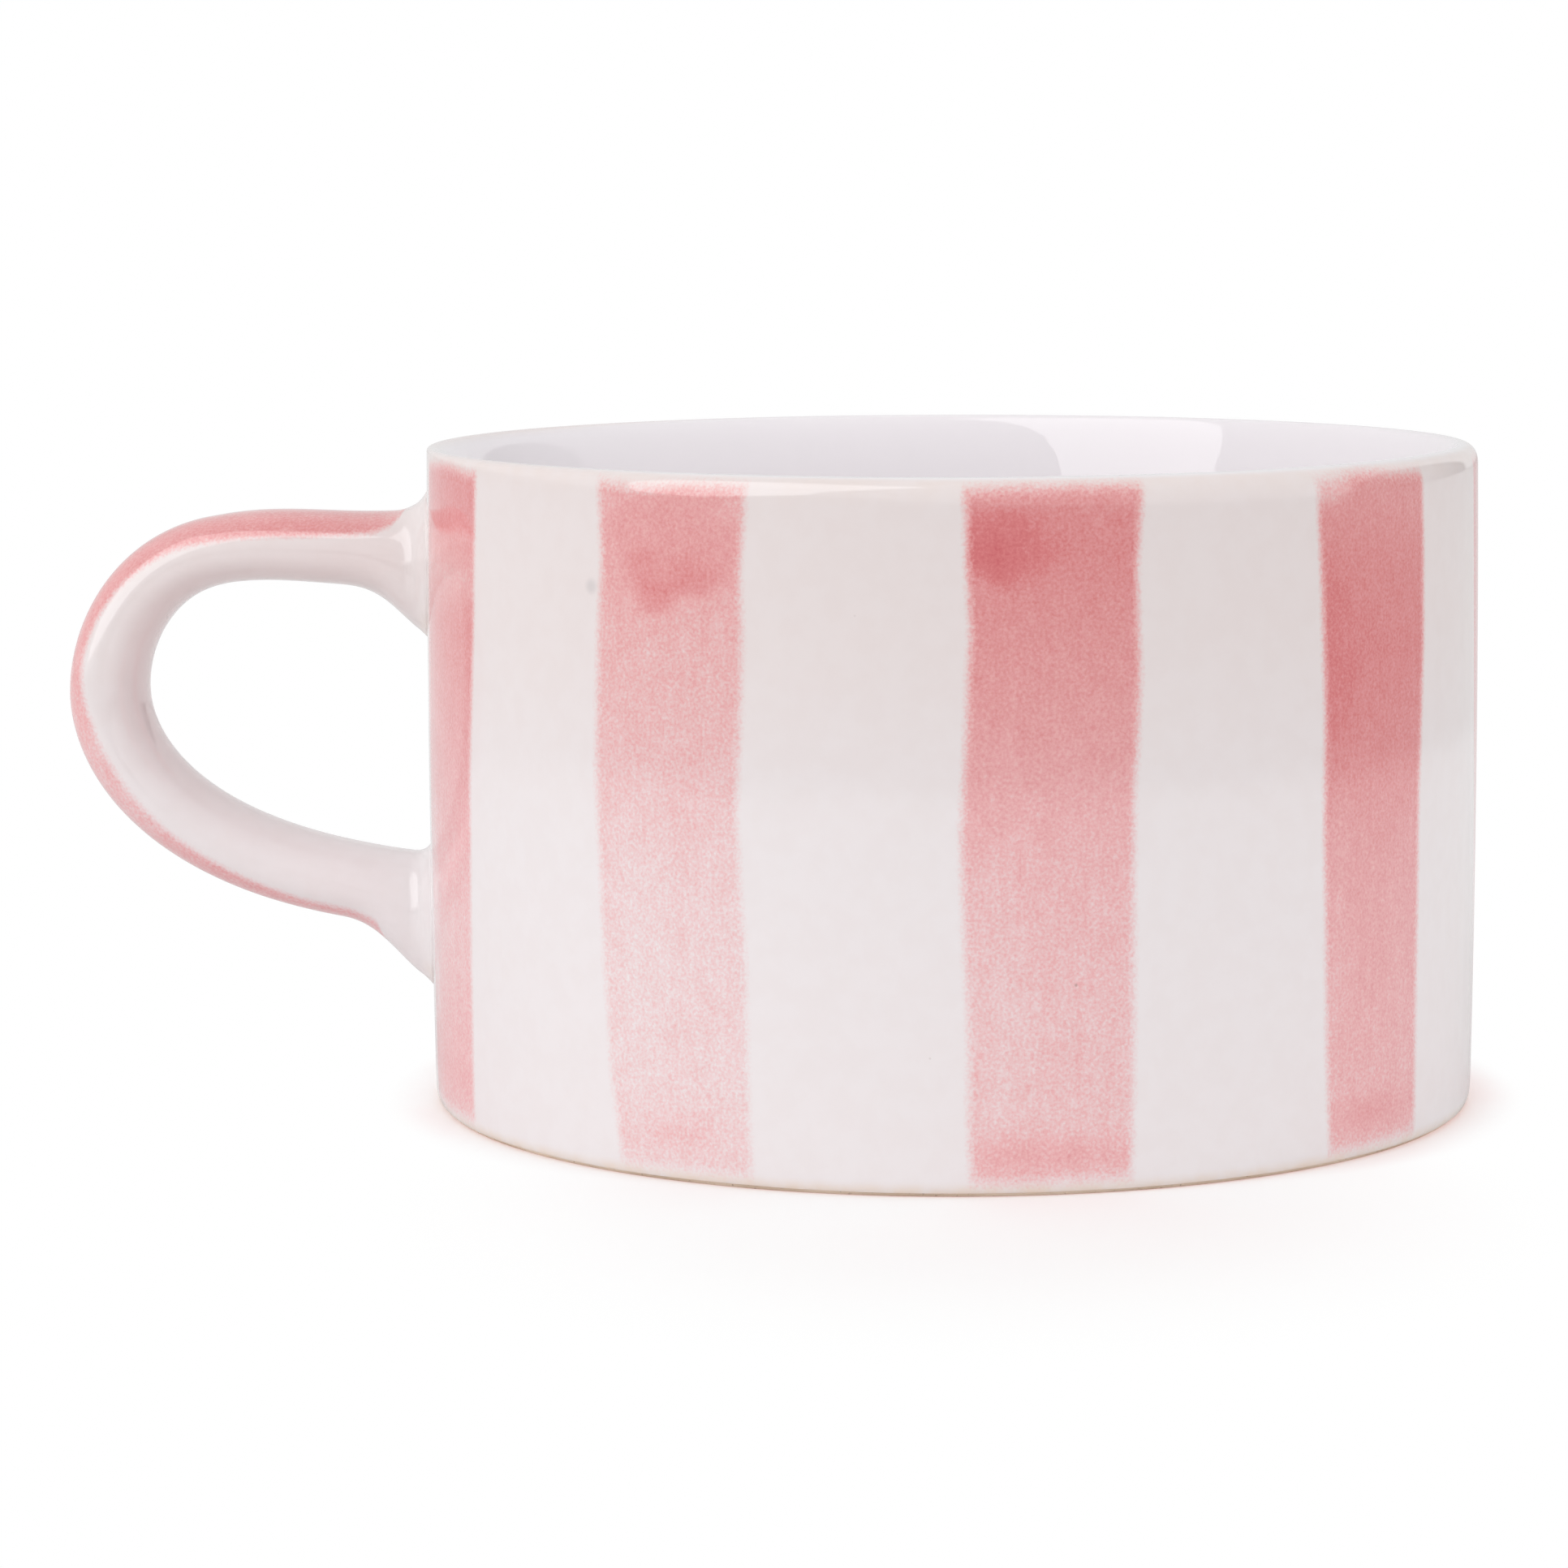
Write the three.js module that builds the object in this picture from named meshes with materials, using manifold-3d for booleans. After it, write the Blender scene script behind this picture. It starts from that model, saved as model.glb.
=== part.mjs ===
// Stoneware mug with a loop handle, in millimetres, +Z up.
// The origin is the centre of the foot, on the table, and the handle points towards -X.
// The cup and the handle are two pieces of clay, luted together with slip at two joints.
// A liner glaze covers the inside and the lip, and an outer glaze the wall and the handle.

import * as THREE from "three";
import Module from "manifold-3d";
import { mergeVertices } from "three/addons/utils/BufferGeometryUtils.js";

const wasm = await Module();
wasm.setup();

// Cup, measured over its glaze
const RIM_DIAMETER = 110;
const BASE_DIAMETER = 109.4;
const HEIGHT = 68.8;
const WALL = 4.2;
const FLOOR = 5;
const INNER_CORNER_RADIUS = 9;
const LIP_RISE = 1.9;
const FOOT_EDGE_WIDTH = 1.6;
const FOOT_EDGE_HEIGHT = 2.6;

// Glaze coats and the clearances between the pieces
const GLAZE = 0.4;
const SEAT = 0.05;
const JOINT_GAP = 0.3;
const LINER_DROP = 1.2;
const BARE_FOOT_SHARE = 0.45;

// Handle centre line: drops are from the lip, heights from the table, and outs from the rim
const UPPER_ROOT_DROP = 11;
const UPPER_ARM_DROP = 11.6;
const UPPER_ARM_PULL = 10.6;
const SHOULDER_OUT = 22.7;
const SHOULDER_DROP = 11.3;
const SHOULDER_ANGLE = 11;
const SHOULDER_PULL_IN = 7.6;
const SHOULDER_PULL_OUT = 8.2;
const BOW_OUT = 34.5;
const BOW_HEIGHT_SHARE = 0.585;
const BOW_PULL_UP_SHARE = 0.16;
const BOW_PULL_DOWN_SHARE = 0.22;
const LOWER_ARM_PULL = 26.2;
const LOWER_ARM_HEIGHT = 23.1;
const LOWER_ROOT_HEIGHT = 21.2;

// Handle section: half thickness in the plane of the loop, at shares of its length, and width
const THICKNESS_STATION_SHARES = [0, 0.25, 0.5, 1];
const HALF_THICKNESSES = [4.1, 3.7, 4.4, 4.3];
const HANDLE_WIDTH = 12.8;

// Flares at the roots: how far each face swells at the wall, and over what length
const UPPER_OUTER_FLARE = { swell: 2, length: 3.6 };
const UPPER_INNER_FLARE = { swell: 5.8, length: 10.4 };
const LOWER_OUTER_FLARE = { swell: 6.3, length: 9.9 };
const LOWER_INNER_FLARE = { swell: 1.1, length: 2.4 };
const SIDE_FLARE = { swell: 1.4, length: 7 };
const SLIP_LENGTH = 3.2;

// Faceting of the round surfaces
const CUP_SEGMENTS = 72;
const LIP_STEPS = 8;
const FOOT_STEPS = 4;
const CORNER_STEPS = 5;
const HANDLE_SIDES = 20;
const HANDLE_STATIONS = 34;
const STATION_CROWDING_SHARE = 0.6;

// Sizes that follow from the ones above
const rimRadius = RIM_DIAMETER / 2;
const baseRadius = BASE_DIAMETER / 2;
const shoulderZ = HEIGHT - LIP_RISE;
const lipCentreRadius = rimRadius - WALL / 2;
const footCentreRadius = baseRadius - FOOT_EDGE_WIDTH;
const clayInset = GLAZE + SEAT;
const linerEdgeZ = shoulderZ - LINER_DROP;
const upperRootZ = HEIGHT - UPPER_ROOT_DROP;
const loopHeight = upperRootZ - LOWER_ROOT_HEIGHT;

// Outer radius of the glazed wall at a height
function wallRadius(z) {
  const share = (z - FOOT_EDGE_HEIGHT) / (shoulderZ - FOOT_EDGE_HEIGHT);
  return THREE.MathUtils.lerp(baseRadius, rimRadius, share);
}

// Points of a quarter or half ellipse between two angles, the first and last included
function ellipseArc(centre, halfWidth, halfHeight, startAngle, endAngle, steps) {
  const points = [];
  for (let i = 0; i <= steps; i += 1) {
    const angle = THREE.MathUtils.lerp(startAngle, endAngle, i / steps);
    points.push(new THREE.Vector2(
      centre.x + halfWidth * Math.cos(angle),
      centre.y + halfHeight * Math.sin(angle),
    ));
  }
  return points;
}

// The lip, from the outside over the crest to the inside, set in from the glazed surface
function lipArc(inset) {
  const centre = new THREE.Vector2(lipCentreRadius, shoulderZ);
  return ellipseArc(centre, WALL / 2 - inset, LIP_RISE - inset, 0, Math.PI, LIP_STEPS);
}

// The inside, from the foot of its wall round the corner to the axis
function insideArc(inset) {
  const radius = INNER_CORNER_RADIUS + inset;
  const centre = new THREE.Vector2(
    baseRadius - WALL - INNER_CORNER_RADIUS,
    FLOOR + INNER_CORNER_RADIUS,
  );
  const points = ellipseArc(centre, radius, radius, 0, -Math.PI / 2, CORNER_STEPS);
  points.push(new THREE.Vector2(0, FLOOR - inset));
  return points;
}

// The rounded lower edge of the wall, from its top down to the given share of the quarter turn
function footArc(inset, rise, turnShare) {
  const centre = new THREE.Vector2(footCentreRadius, FOOT_EDGE_HEIGHT);
  const end = (-Math.PI / 2) * turnShare;
  return ellipseArc(centre, FOOT_EDGE_WIDTH - inset, rise, 0, end, FOOT_STEPS);
}

// Revolves a profile of radius and height about +Z
function revolve(points) {
  const geometry = new THREE.LatheGeometry(points, CUP_SEGMENTS);
  geometry.rotateX(Math.PI / 2);
  return geometry;
}

// A lathe turns its faces out when the profile runs up the outside
function cupBody() {
  const foot = footArc(clayInset, FOOT_EDGE_HEIGHT, 1).reverse();
  const points = [new THREE.Vector2(0, 0), ...foot, ...lipArc(clayInset), ...insideArc(clayInset)];
  return revolve(points);
}

function linerGlaze() {
  const coat = [
    new THREE.Vector2(wallRadius(linerEdgeZ), linerEdgeZ),
    ...lipArc(0),
    ...insideArc(0),
  ];
  const seat = [
    new THREE.Vector2(wallRadius(linerEdgeZ) - GLAZE, linerEdgeZ),
    ...lipArc(GLAZE),
    ...insideArc(GLAZE),
  ];
  return revolve([...coat, ...seat.reverse(), coat[0].clone()]);
}

function outerGlaze() {
  const topZ = linerEdgeZ - SEAT;
  const turnShare = 1 - BARE_FOOT_SHARE;
  const coat = footArc(0, FOOT_EDGE_HEIGHT, turnShare).reverse();
  coat.push(new THREE.Vector2(wallRadius(topZ), topZ));
  const seat = footArc(GLAZE, FOOT_EDGE_HEIGHT, turnShare).reverse();
  seat.push(new THREE.Vector2(wallRadius(topZ) - GLAZE, topZ));
  return revolve([...coat, ...seat.reverse(), coat[0].clone()]);
}

// The handle's centre line in the XZ plane, from the upper root to the lower one
function handleLine() {
  const at = (out, z) => new THREE.Vector3(-out, 0, z);
  const slope = THREE.MathUtils.degToRad(SHOULDER_ANGLE);
  const shoulder = at(rimRadius + SHOULDER_OUT, HEIGHT - SHOULDER_DROP);
  const along = at(Math.cos(slope), -Math.sin(slope));
  const bow = at(rimRadius + BOW_OUT, LOWER_ROOT_HEIGHT + BOW_HEIGHT_SHARE * loopHeight);
  const up = at(0, loopHeight);
  const upperRoot = at(wallRadius(upperRootZ), upperRootZ);
  const lowerRoot = at(wallRadius(LOWER_ROOT_HEIGHT), LOWER_ROOT_HEIGHT);
  const line = new THREE.CurvePath();
  line.add(new THREE.CubicBezierCurve3(
    upperRoot,
    at(rimRadius + UPPER_ARM_PULL, HEIGHT - UPPER_ARM_DROP),
    shoulder.clone().addScaledVector(along, -SHOULDER_PULL_IN),
    shoulder,
  ));
  line.add(new THREE.CubicBezierCurve3(
    shoulder,
    shoulder.clone().addScaledVector(along, SHOULDER_PULL_OUT),
    bow.clone().addScaledVector(up, BOW_PULL_UP_SHARE),
    bow,
  ));
  line.add(new THREE.CubicBezierCurve3(
    bow,
    bow.clone().addScaledVector(up, -BOW_PULL_DOWN_SHARE),
    at(rimRadius + LOWER_ARM_PULL, LOWER_ARM_HEIGHT),
    lowerRoot,
  ));
  return line;
}

const centreLine = handleLine();
const lineLength = centreLine.getLength();

// A point and direction at a distance along the line, which runs straight on past both ends
function lineAt(distance) {
  const inside = THREE.MathUtils.clamp(distance, 0, lineLength);
  const share = inside / lineLength;
  const direction = centreLine.getTangentAt(share);
  const point = centreLine.getPointAt(share).addScaledVector(direction, distance - inside);
  return { point, direction };
}

function flare(form, distance) {
  const share = THREE.MathUtils.clamp(1 - distance / form.length, 0, 1);
  return form.swell * share * share;
}

function halfThickness(share) {
  const stations = THICKNESS_STATION_SHARES;
  const last = stations.length - 1;
  const clamped = THREE.MathUtils.clamp(share, stations[0], stations[last]);
  const i = Math.min(last - 1, stations.findLastIndex((station) => station <= clamped));
  const local = (clamped - stations[i]) / (stations[i + 1] - stations[i]);
  return THREE.MathUtils.lerp(HALF_THICKNESSES[i], HALF_THICKNESSES[i + 1], local);
}

// One ring of the handle: an oval whose outer and inner halves swell on their own at the roots
function handleRing(distance, inset) {
  const { point, direction } = lineAt(distance);
  const outward = new THREE.Vector3(-direction.z, 0, direction.x);
  const fromEnd = lineLength - distance;
  const half = halfThickness(distance / lineLength) - inset;
  const outer = half + flare(UPPER_OUTER_FLARE, distance) + flare(LOWER_OUTER_FLARE, fromEnd);
  const inner = half + flare(UPPER_INNER_FLARE, distance) + flare(LOWER_INNER_FLARE, fromEnd);
  const side = HANDLE_WIDTH / 2 - inset + flare(SIDE_FLARE, distance) + flare(SIDE_FLARE, fromEnd);
  const ring = [];
  for (let i = 0; i < HANDLE_SIDES; i += 1) {
    const angle = (2 * Math.PI * i) / HANDLE_SIDES;
    const depth = Math.cos(angle) * (Math.cos(angle) > 0 ? outer : inner);
    const vertex = point.clone().addScaledVector(outward, -depth);
    vertex.y += side * Math.sin(angle);
    ring.push(vertex);
  }
  return { centre: point, ring };
}

// Ring places between two distances, closer together near the roots and shared by every piece
function stationsBetween(from, to) {
  const places = [from];
  for (let i = 0; i <= HANDLE_STATIONS; i += 1) {
    const share = i / HANDLE_STATIONS;
    const crowding = (STATION_CROWDING_SHARE * Math.sin(2 * Math.PI * share)) / (2 * Math.PI);
    const place = lineLength * (share - crowding);
    if (place > from + SEAT && place < to - SEAT) places.push(place);
  }
  places.push(to);
  return places;
}

// A closed length of the handle between two distances, set in from the glazed surface
function handleLength(from, to, inset) {
  const rings = stationsBetween(from, to).map((place) => handleRing(place, inset));
  const vertices = rings.flatMap(({ ring }) => ring);
  const first = vertices.length;
  const last = first + 1;
  vertices.push(rings[0].centre, rings[rings.length - 1].centre);
  const faces = [];
  const lastRing = (rings.length - 1) * HANDLE_SIDES;
  for (let side = 0; side < HANDLE_SIDES; side += 1) {
    const next = (side + 1) % HANDLE_SIDES;
    for (let r = 0; r < rings.length - 1; r += 1) {
      const a = r * HANDLE_SIDES + side;
      const b = r * HANDLE_SIDES + next;
      faces.push(a, b, b + HANDLE_SIDES, a, b + HANDLE_SIDES, a + HANDLE_SIDES);
    }
    faces.push(first, next, side, last, lastRing + side, lastRing + next);
  }
  const geometry = new THREE.BufferGeometry().setFromPoints(vertices);
  geometry.setIndex(faces);
  return geometry;
}

// Solid of a closed geometry, and back
function toSolid(geometry) {
  const bare = geometry.clone();
  bare.deleteAttribute("normal");
  bare.deleteAttribute("uv");
  const merged = mergeVertices(bare);
  return new wasm.Manifold(new wasm.Mesh({
    numProp: 3,
    vertProperties: merged.getAttribute("position").array,
    triVerts: Uint32Array.from(merged.index.array),
  }));
}

function toGeometry(solid) {
  const mesh = solid.getMesh();
  const geometry = new THREE.BufferGeometry();
  geometry.setAttribute("position", new THREE.BufferAttribute(mesh.vertProperties, mesh.numProp));
  geometry.setIndex(new THREE.BufferAttribute(mesh.triVerts, 1));
  return geometry;
}

// A full plug of the clay cup, grown by the joint gap, that shapes what meets the wall
function wallPlug() {
  const grow = JOINT_GAP - clayInset;
  return toSolid(revolve([
    new THREE.Vector2(0, 0),
    new THREE.Vector2(wallRadius(0) + grow, 0),
    new THREE.Vector2(wallRadius(HEIGHT) + grow, HEIGHT),
    new THREE.Vector2(0, HEIGHT),
  ]));
}

const plug = wallPlug();
const past = WALL;
const upperEnd = -past;
const lowerEnd = lineLength + past;

function upperJoint() {
  return toGeometry(toSolid(handleLength(upperEnd, SLIP_LENGTH, clayInset)).subtract(plug));
}

function lowerJoint() {
  const start = lineLength - SLIP_LENGTH;
  return toGeometry(toSolid(handleLength(start, lowerEnd, clayInset)).subtract(plug));
}

function handleBow() {
  return handleLength(SLIP_LENGTH + SEAT, lineLength - SLIP_LENGTH - SEAT, clayInset);
}

function handleGlaze() {
  const coat = toSolid(handleLength(upperEnd, lowerEnd, 0));
  const bore = toSolid(handleLength(upperEnd - past, lowerEnd + past, GLAZE));
  return toGeometry(coat.subtract(bore).subtract(plug));
}

// The outer glaze, open round both roots
function windowedOuterGlaze() {
  const reach = UPPER_INNER_FLARE.length;
  const upper = toSolid(handleLength(upperEnd, reach, -JOINT_GAP));
  const lower = toSolid(handleLength(lineLength - reach, lowerEnd, -JOINT_GAP));
  return toGeometry(toSolid(outerGlaze()).subtract(upper).subtract(lower));
}

function piece(name, geometry, color, roughness) {
  const material = new THREE.MeshStandardMaterial({ color, roughness, metalness: 0 });
  const mesh = new THREE.Mesh(geometry, material);
  mesh.name = name;
  return mesh;
}

const mug = new THREE.Group();
mug.add(piece("cup_body", cupBody(), 0xe6cdb8, 0.85));
mug.add(piece("handle_clay", handleBow(), 0xe6cdb8, 0.85));
mug.add(piece("upper_slip_joint", upperJoint(), 0xdcc6b4, 0.9));
mug.add(piece("lower_slip_joint", lowerJoint(), 0xdcc6b4, 0.9));
mug.add(piece("liner_glaze", linerGlaze(), 0xe6e2e8, 0.12));
mug.add(piece("outer_glaze", windowedOuterGlaze(), 0xe8b4b4, 0.15));
mug.add(piece("handle_glaze", handleGlaze(), 0xe8dede, 0.15));

export default mug;
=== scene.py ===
"""Stoneware mug with brushed rose stripes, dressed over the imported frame.

The frame is in metres with +Z up, the origin under the middle of the foot and the handle towards
-X. Sizes here are in millimetres, and MM scales them where Blender gets them. Angles round the cup
are in degrees from -Y, the front, towards +X. Lists of pairs are stops between which the value
runs straight.
"""

import math

import bpy
from mathutils import Matrix, Vector, noise
from mathutils.geometry import interpolate_bezier


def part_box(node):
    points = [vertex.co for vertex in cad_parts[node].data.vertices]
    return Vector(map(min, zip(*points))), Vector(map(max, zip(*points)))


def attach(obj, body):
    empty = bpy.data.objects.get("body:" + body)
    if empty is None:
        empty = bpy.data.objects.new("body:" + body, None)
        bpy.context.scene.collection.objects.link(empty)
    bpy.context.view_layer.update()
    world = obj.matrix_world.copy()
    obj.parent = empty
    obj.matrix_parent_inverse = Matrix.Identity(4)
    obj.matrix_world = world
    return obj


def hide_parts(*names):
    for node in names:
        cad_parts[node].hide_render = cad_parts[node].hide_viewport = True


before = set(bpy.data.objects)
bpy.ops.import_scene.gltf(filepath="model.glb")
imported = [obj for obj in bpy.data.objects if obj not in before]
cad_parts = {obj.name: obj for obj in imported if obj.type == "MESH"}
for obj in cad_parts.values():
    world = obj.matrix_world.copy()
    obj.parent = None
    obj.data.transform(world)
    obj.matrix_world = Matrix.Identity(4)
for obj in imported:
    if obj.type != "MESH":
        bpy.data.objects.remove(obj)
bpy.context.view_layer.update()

MM = 0.001

# Cup, measured over the glaze
RIM_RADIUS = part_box("liner_glaze")[1][0] / MM
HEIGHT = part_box("liner_glaze")[1][2] / MM
BASE_RADIUS = 54.7
TOP_RADIUS = 54.72
BELLY = 0.27
WALL = 4.2
FLOOR = 5.0
INNER_TAPER = 1.3
INNER_CORNER_RADIUS = 9.0
FOOT_EDGE_WIDTH = 0.8
FOOT_EDGE_HEIGHT = 1.7

# Thickness of the coat, depth of the clay under its face, and where on the rounded edge of the
# foot the coat ends: degrees below level, and how much that line wavers
GLAZE = 0.38
CLAY_INSET = 0.45
GLAZED_FOOT_TURN = 50
GLAZE_LINE_WAVER = 3
GLAZE_LINE_SPREAD = 14
GLAZE_LINE_SEED = 3.0

# Unevenness from the potter's hand: depth, spread round and up, and where it fades inwards
HAND_DEPTH = 0.05
HAND_ROUND = 1.6
HAND_UP = 38
HAND_FADE = 20

# Lip, by angle: how far down the rounding reaches outside, how far in the crest lies and how much
# lower it is, apart from a slight waver. A curve's fullness is 2 for an ellipse and more for a
# squarer corner.
LIP_OUTER_RISE = [
    (-180, 2.2), (-150, 1.2), (-120, 0.5), (-75, 0.5), (-50, 1.3), (-25, 2.3), (-12, 1.7), (0, 2.4),
    (25, 2.9), (60, 2.9), (90, 2.0), (130, 2.1), (180, 2.2),
]
CREST_INSET = [
    (-180, 1.9), (-150, 1.2), (-120, 0.4), (-75, 0.4), (-50, 1.2), (-25, 1.9), (0, 2.1), (60, 2.1),
    (90, 1.8), (130, 1.9), (180, 1.9),
]
LIP_INNER_RISE = 13.5
LIP_FULLNESS = 2.3
LIP_INNER_FULLNESS = 2.0
LIP_DROP = [
    (-180, 0.03), (-120, 0), (-60, 0), (-30, 0.14), (0, 0.2), (40, 0.2), (80, 0.06), (180, 0.03),
]
LIP_WAVER = 0.03
LIP_WAVES = 3
LIP_WAVE_START = 0.8

# Meshing of the cup, and the angle from which an edge is sharp
SEGMENTS = 360
FOOT_STEPS = 8
WALL_STEPS = 66
LIP_STEPS = 14
INNER_STEPS = 12
CORNER_STEPS = 12
FLOOR_STEPS = 8
CREASE = 42

# Handle: centre line in its plane, as (out from the axis, height) of four-point curves, and its
# section. A flare is its swell, its length and how it rounds off at the wall (0: not at all).
HANDLE_CURVES = [
    [(54.96, 57.8), (65.6, 57.2), (70.24, 58.95), (77.7, 57.5)],
    [(77.7, 57.5), (85.75, 55.94), (89.5, 48.47), (89.5, 42.61)],
    [(89.5, 42.61), (89.5, 34.56), (81.2, 23.1), (54.79, 21.2)],
]
HALF_THICKNESS = [(0, 4.05), (0.25, 3.62), (0.5, 4.1), (0.8, 4.05), (1, 3.88)]
HALF_WIDTH = 6.4
SECTION_FULLNESS = 2.25
UPPER_OUTER_FLARE = (1.6, 3.8, 0)
UPPER_INNER_FLARE = (5.0, 11.0, 1.9)
LOWER_OUTER_FLARE = (5.6, 10.2, 1.4)
LOWER_INNER_FLARE = (1.1, 2.4, 0)
SIDE_FLARE = (1.8, 2.45, 0)
FILLET = (0.6, 1.3, 0)
HANDLE_SUNK = 1.8

# Meshing of the handle. Its points are crowded towards the roots, and its direction at a point
# is taken over a few points of the line.
HANDLE_SIDES = 64
HANDLE_STATIONS = 220
CROWDING = 0.6
FITTING_STEPS = 4
CURVE_POINTS = 160
POINTS_BEFORE = 3
POINTS_AFTER = 2

# Painted stripes of the wall: left and right edge in degrees, at heights
STRIPE_EDGES = {
    "left": (
        [(3, -77.2), (20, -77.2), (42, -78.4), (54, -78.0), (67, -76.8)],
        [(3, -60.8), (20, -60.5), (35, -60.1), (54, -58.6), (67, -58.1)],
    ),
    "front_left": (
        [(2, -34.3), (8, -35.3), (20, -36.2), (40, -37.1), (54, -36.7), (60, -36.1), (67, -36.5)],
        [(2, -19.2), (22, -19.6), (36, -20.4), (54, -19.6), (60, -19.8), (67, -19.4)],
    ),
    "front": (
        [(2, 3.6), (8, 3.3), (14, 3.4), (24, 2.9), (35, 2.5), (46, 3.2), (54, 3.5), (67, 2.9)],
        [(2, 19.8), (12, 19.8), (20, 19.9), (38, 19.8), (50, 20.4), (60, 20.1), (67, 20.6)],
    ),
    "front_right": (
        [(2, 44.2), (10, 43.5), (30, 42.8), (45, 42.7), (58, 42.2), (67, 41.6)],
        [(2, 59.1), (20, 59.0), (36, 58.9), (50, 59.7), (60, 59.6), (67, 59.4)],
    ),
    "right": (
        [(2, 84.2), (14, 83.0), (28, 81.1), (40, 79.4), (52, 78.4), (67, 77.8)],
        [(2, 100.6), (30, 98.4), (50, 95.9), (67, 95.4)],
    ),
    "back_right": (
        [(2, 122.8), (22, 122.2), (45, 123.0), (67, 122.3)],
        [(2, 140.0), (25, 139.5), (48, 140.4), (67, 139.9)],
    ),
    "back": (
        [(2, 162.0), (24, 162.8), (44, 162.1), (67, 162.6)],
        [(2, 179.6), (20, 180.3), (48, 179.7), (67, 180.2)],
    ),
    "back_left": (
        [(2, -157.3), (26, -158.0), (47, -157.2), (67, -157.8)],
        [(2, -140.2), (24, -139.6), (46, -140.4), (67, -139.9)],
    ),
    "behind_handle": (
        [(2, -117.2), (22, -117.9), (44, -117.1), (67, -117.6)],
        [(2, -100.4), (26, -99.8), (50, -100.6), (67, -100.1)],
    ),
}

# Strength of the paint down each stripe, at heights. In the stripe beside the handle the dips at
# 20 and 57 mm, beside the handle's arms, are painted reflections of the arms.
STRIPE_STRENGTH = {
    "left": [(2, 0.4), (5, 0.54), (8, 0.49), (20, 0.38), (30, 0.5), (45, 0.67), (52, 0.77),
             (57, 0.46), (60, 0.7), (63, 0.8), (67, 0.84)],
    "front_left": [(2, 0.25), (4, 0.28), (8, 0.22), (20, 0.24), (32, 0.28), (42, 0.38),
                   (52, 0.42), (58, 0.5), (63, 0.54), (67, 0.5)],
    "front": [(2, 0.4), (4, 0.52), (7, 0.36), (20, 0.39), (32, 0.46), (42, 0.6), (54, 0.74),
              (62, 0.86), (65, 0.84), (67, 0.72)],
    "front_right": [(2, 0.45), (4.5, 0.58), (8, 0.48), (20, 0.56), (32, 0.66), (40, 0.82),
                    (50, 0.9), (60, 0.84), (67, 0.66)],
    "right": [(2, 0.4), (4.5, 0.5), (8, 0.4), (25, 0.45), (45, 0.6), (60, 0.75), (67, 0.6)],
    "back_right": [(2, 0.3), (4.5, 0.42), (8, 0.3), (28, 0.36), (48, 0.55), (61, 0.7), (67, 0.6)],
    "back": [(2, 0.4), (4.5, 0.52), (8, 0.42), (24, 0.5), (42, 0.62), (58, 0.86), (67, 0.7)],
    "back_left": [(2, 0.32), (4.5, 0.45), (8, 0.34), (30, 0.4), (50, 0.6), (62, 0.78), (67, 0.62)],
    "behind_handle": [(2, 0.38), (4.5, 0.5), (8, 0.4), (26, 0.5), (44, 0.56), (60, 0.72),
                      (67, 0.6)],
}

# Places where the brush left more or less paint, and one lighter place at the edge of the stripe
# beside the handle that is painted reflection: angle, height, reach across and up, change, and how
# soft the edge is as a share of the reach
BLOTCHES = [
    (-27.5, 62.4, 7.6, 4.9, 0.10, 0.4),
    (-29.6, 56.9, 2.2, 1.7, 0.30, 0.8),
    (-25.0, 58.5, 3.3, 1.6, 0.12, 0.8),
    (-31.6, 59.8, 2.2, 2.0, 0.08, 0.8),
    (-27.6, 59.6, 5.8, 2.0, 0.07, 0.8),
    (-27.0, 5.4, 3.6, 1.6, 0.08, 1.0),
    (-31.5, 24.0, 3.5, 14.0, -0.05, 1.0),
    (6.7, 62.1, 4.3, 3.4, 0.20, 0.6),
    (5.4, 60.9, 2.6, 2.1, 0.12, 0.6),
    (10.5, 4.0, 5.0, 1.4, 0.05, 1.0),
    (6.0, 20.0, 3.5, 14.0, -0.05, 1.0),
    (44.5, 50.0, 2.4, 9.0, 0.08, 1.0),
    (41.8, 67.2, 4.7, 2.5, -0.26, 0.4),
    (50.5, 4.6, 3.6, 1.4, 0.06, 1.0),
    (44.9, 22.0, 1.4, 18.0, -0.06, 1.0),
    # Lighter at the left edge of the stripe beside the handle: painted reflection.
    (-75.5, 22.0, 3.0, 12.0, -0.12, 1.0),
    (88.5, 60.0, 6.5, 4.8, 0.11, 0.9),
    (130.5, 58.6, 7.2, 4.9, 0.13, 0.8),
    (170.5, 61.2, 7.6, 4.4, 0.15, 0.8),
    (-149.5, 57.4, 7.0, 5.2, 0.12, 0.8),
    (-108.4, 61.4, 6.4, 4.4, 0.13, 0.8),
]

# Wobble of the blotches' outlines, and its grain in degrees and millimetres
BLOTCH_WOBBLE = 0.35
BLOTCH_GRAIN = (3.2, 2.6)

# Ends of the stripes, and the distance that stands for no stripe at all
STRIPE_TOP = 67.5
STRIPE_BOTTOM = 1.5
END_SOFTNESS = 1.4
END_WAVER = 0.5
END_WAVER_SPREAD = 9
END_WAVER_SEED = 7.0
NO_STRIPE = -20.0

# Painted stripe of the handle by share of its length: half turn across the section (degrees), and
# strength
HANDLE_PAINT_TURN = [
    (0, -60), (0.02, -20), (0.03, 26), (0.04, 42), (0.06, 57), (0.1, 64), (0.16, 70), (0.25, 72),
    (0.31, 68), (0.37, 64), (0.43, 60), (0.46, 60), (0.49, 66), (0.52, 74), (0.58, 79), (0.64, 75),
    (0.7, 69), (0.79, 62), (0.85, 56), (0.91, 56), (0.94, 58), (0.955, 10), (0.97, -60),
]
HANDLE_PAINT_STRENGTH = [
    (0, 0.5), (0.06, 0.66), (0.12, 0.76), (0.2, 0.72), (0.3, 0.64), (0.4, 0.6), (0.5, 0.46),
    (0.6, 0.38), (0.68, 0.44), (0.75, 0.52), (0.88, 0.46), (1, 0.4),
]
HANDLE_PAINT_SOFTNESS = 1.3
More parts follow.
